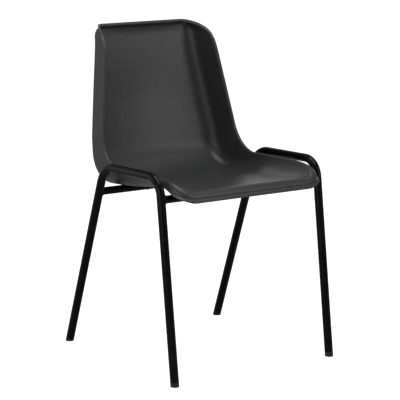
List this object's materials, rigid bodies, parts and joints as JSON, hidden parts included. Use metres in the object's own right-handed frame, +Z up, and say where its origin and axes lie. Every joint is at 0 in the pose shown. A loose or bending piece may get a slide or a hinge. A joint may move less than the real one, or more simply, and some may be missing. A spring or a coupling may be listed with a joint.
{
  "type": "choir chair",
  "caption": "Armless stacking chair with a moulded bucket shell on a welded tubular frame of two inverted-U sides and cross rails.",
  "frame": {"origin": "on the floor, midway between the four feet", "axes": "+Z up; the sitter faces -Y; +X is on the right-hand side of the chair seen from its front; the chair is symmetric about the plane X = 0"},
  "size_m": [0.504, 0.5372, 0.8449],
  "materials": {
    "shell_plastic": "charcoal moulded plastic with a fine satin grain",
    "frame_enamel": "black semi-gloss coating on steel tube",
    "foot_plastic": "black moulded plastic",
    "fixing_steel": "bright zinc plated steel",
    "insert_brass": "plain brass"
  },
  "bodies": {
    "root": {"seat_shell": "shell_plastic", "side_frame_left": "frame_enamel", "side_frame_right": "frame_enamel", "front_rail": "frame_enamel", "rear_rail": "frame_enamel", "fixing_lug_front_left": "frame_enamel", "fixing_lug_front_right": "frame_enamel", "fixing_lug_rear_left": "frame_enamel", "fixing_lug_rear_right": "frame_enamel", "foot_front_left": "foot_plastic", "foot_front_right": "foot_plastic", "foot_rear_left": "foot_plastic", "foot_rear_right": "foot_plastic", "fixing_screws": "fixing_steel", "fixing_washers": "fixing_steel", "thread_inserts": "insert_brass"}
  },
  "joints": []
}
